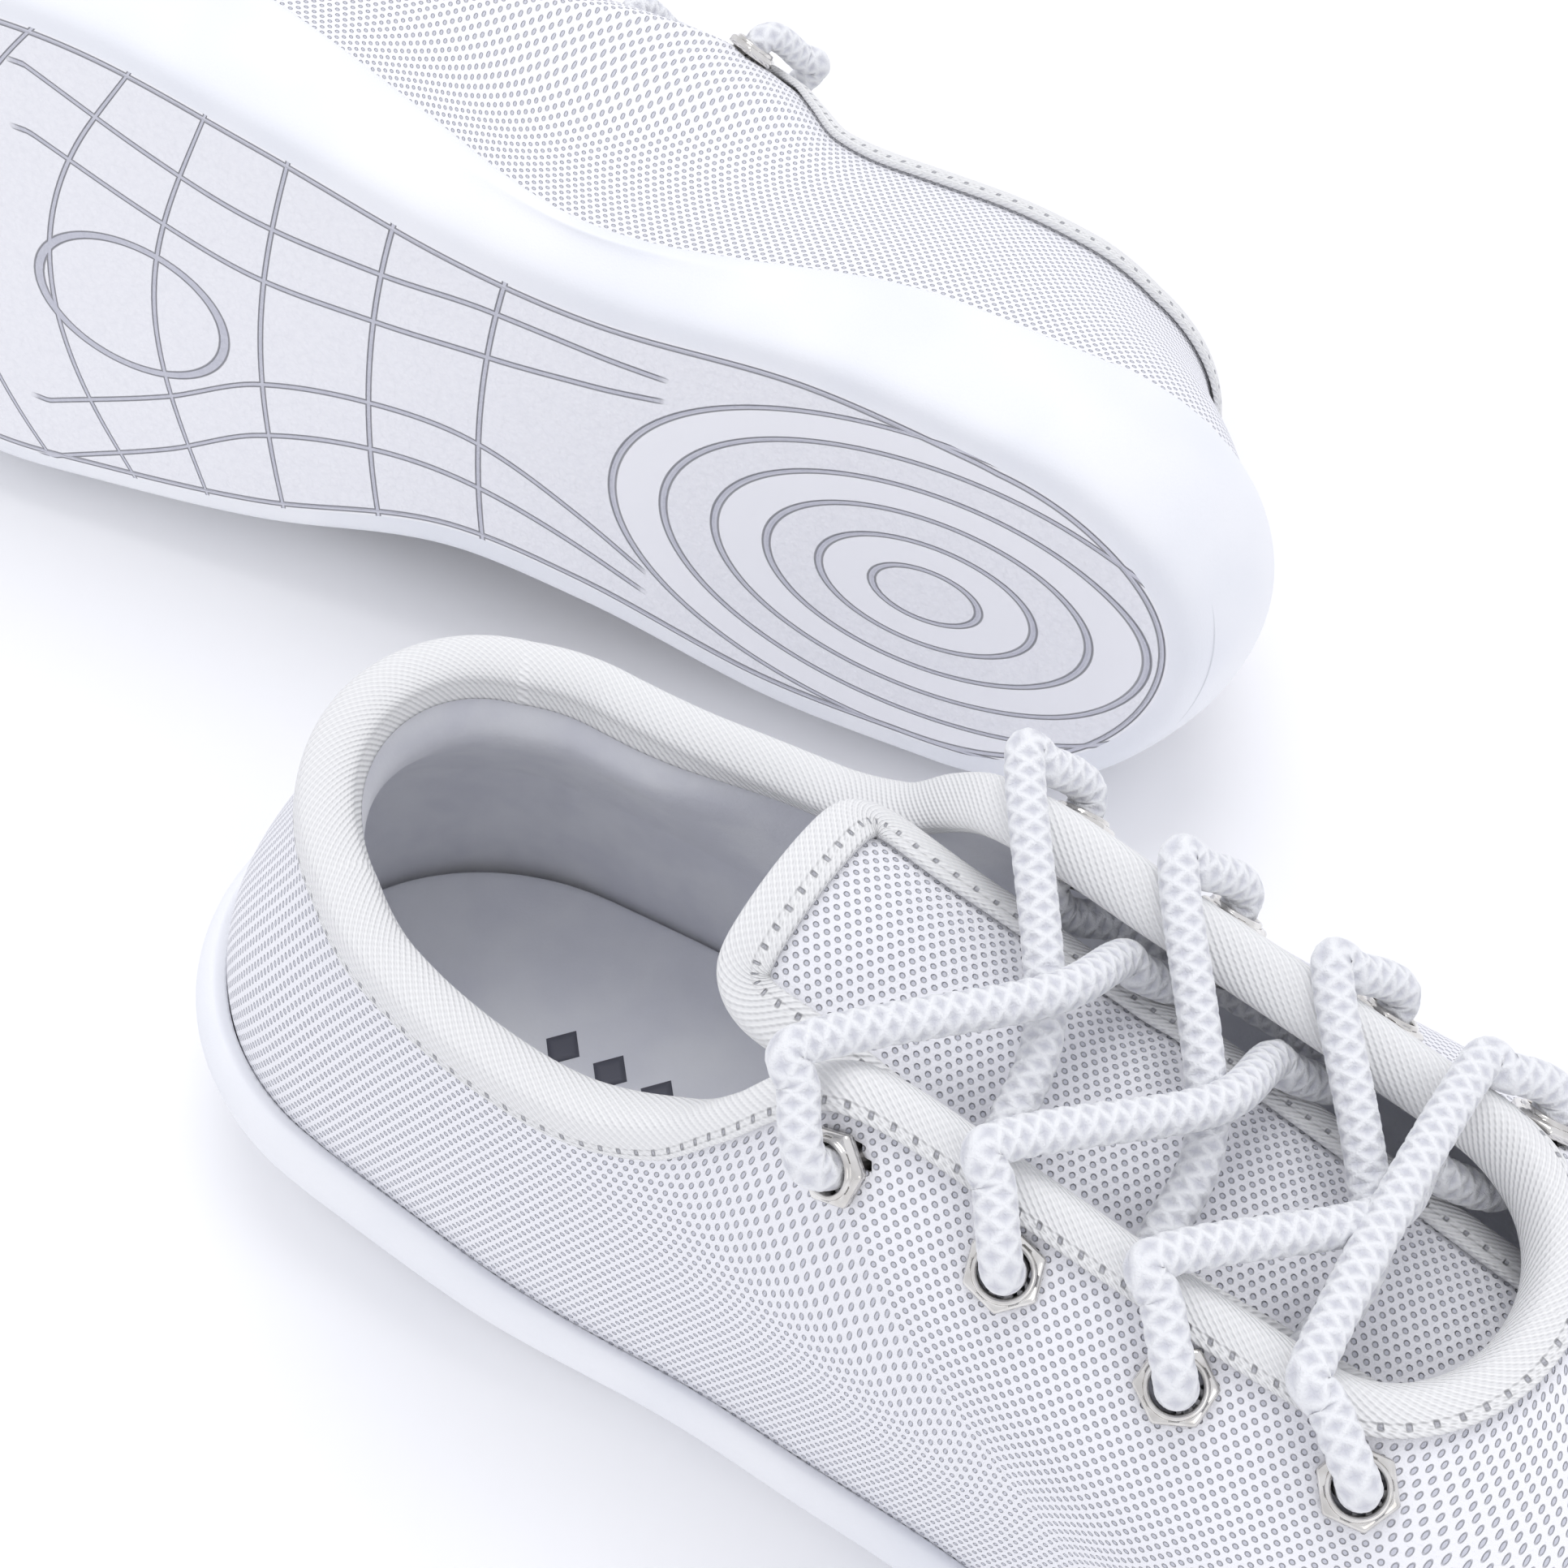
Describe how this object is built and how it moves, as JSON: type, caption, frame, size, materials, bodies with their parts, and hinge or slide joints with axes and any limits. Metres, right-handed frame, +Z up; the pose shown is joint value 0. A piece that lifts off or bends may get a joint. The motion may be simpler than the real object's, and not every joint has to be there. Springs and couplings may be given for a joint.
{
  "type": "cheer shoes",
  "caption": "Pair of low white lace-up mesh cheer shoes: one stands on its moulded sole, the other lies on its inner side with its tread showing.",
  "frame": {"origin": "middle of the flat tread of the standing right shoe, on the ground", "axes": "+X towards the right shoe's toe, +Y towards its inner side, where the left shoe lies, +Z up"},
  "size_m": [0.4162, 0.1924, 0.0854],
  "materials": {
    "rubber": "matte moulded, fine pebble",
    "board": "fibre board",
    "sock": "smooth textile over foam",
    "mesh": "white air mesh",
    "lining": "smooth knitted lining",
    "stiffener": "thermoformed sheet",
    "foam": "open-cell foam",
    "stay": "woven tape",
    "tape": "twill bias tape",
    "lace": "round braid",
    "aglet": "clear film",
    "nickel": "polished nickel"
  },
  "bodies": {
    "right_shoe": {"right_unit_sole": "rubber", "right_insole_board": "board", "right_sockliner": "sock", "right_upper_mesh": "mesh", "right_lining": "lining", "right_heel_counter": "stiffener", "right_toe_puff": "stiffener", "right_collar_foam": "foam", "right_eyestay_lateral": "stay", "right_eyestay_medial": "stay", "right_topline_binding": "tape", "right_lace": "lace", "right_aglet_a": "aglet", "right_aglet_b": "aglet", "right_eyelet_lateral_1": "nickel", "right_eyelet_lateral_2": "nickel", "right_eyelet_lateral_3": "nickel", "right_eyelet_lateral_4": "nickel", "right_eyelet_medial_1": "nickel", "right_eyelet_medial_2": "nickel", "right_eyelet_medial_3": "nickel", "right_eyelet_medial_4": "nickel"},
    "right_tongue": {"right_tongue": "mesh", "right_tongue_lining": "lining", "right_tongue_binding": "tape"},
    "left_shoe": {"left_unit_sole": "rubber", "left_insole_board": "board", "left_sockliner": "sock", "left_upper_mesh": "mesh", "left_lining": "lining", "left_heel_counter": "stiffener", "left_toe_puff": "stiffener", "left_collar_foam": "foam", "left_eyestay_lateral": "stay", "left_eyestay_medial": "stay", "left_topline_binding": "tape", "left_lace": "lace", "left_aglet_a": "aglet", "left_aglet_b": "aglet", "left_eyelet_lateral_1": "nickel", "left_eyelet_lateral_2": "nickel", "left_eyelet_lateral_3": "nickel", "left_eyelet_lateral_4": "nickel", "left_eyelet_medial_1": "nickel", "left_eyelet_medial_2": "nickel", "left_eyelet_medial_3": "nickel", "left_eyelet_medial_4": "nickel"},
    "left_tongue": {"left_tongue": "mesh", "left_tongue_lining": "lining", "left_tongue_binding": "tape"}
  },
  "joints": [
    {"name": "right_tongue_fold", "type": "hinge", "parent": "right_shoe", "child": "right_tongue", "pos_m": [0.0663, -0.0015, 0.0493], "axis": [0, 1, 0], "range_deg": [-12, 0], "stiffness_Nm_per_rad": 0.4},
    {"name": "left_shoe_lift", "type": "slide", "parent": "right_shoe", "child": "left_shoe", "axis": [0, 0, 1], "range_m": [0, 0.12]},
    {"name": "left_tongue_fold", "type": "hinge", "parent": "left_shoe", "child": "left_tongue", "pos_m": [-0.18535, 0.10396, 0.03688], "axis": [0.047, 0.1807, 0.9824], "range_deg": [-12, 0], "stiffness_Nm_per_rad": 0.4}
  ]
}
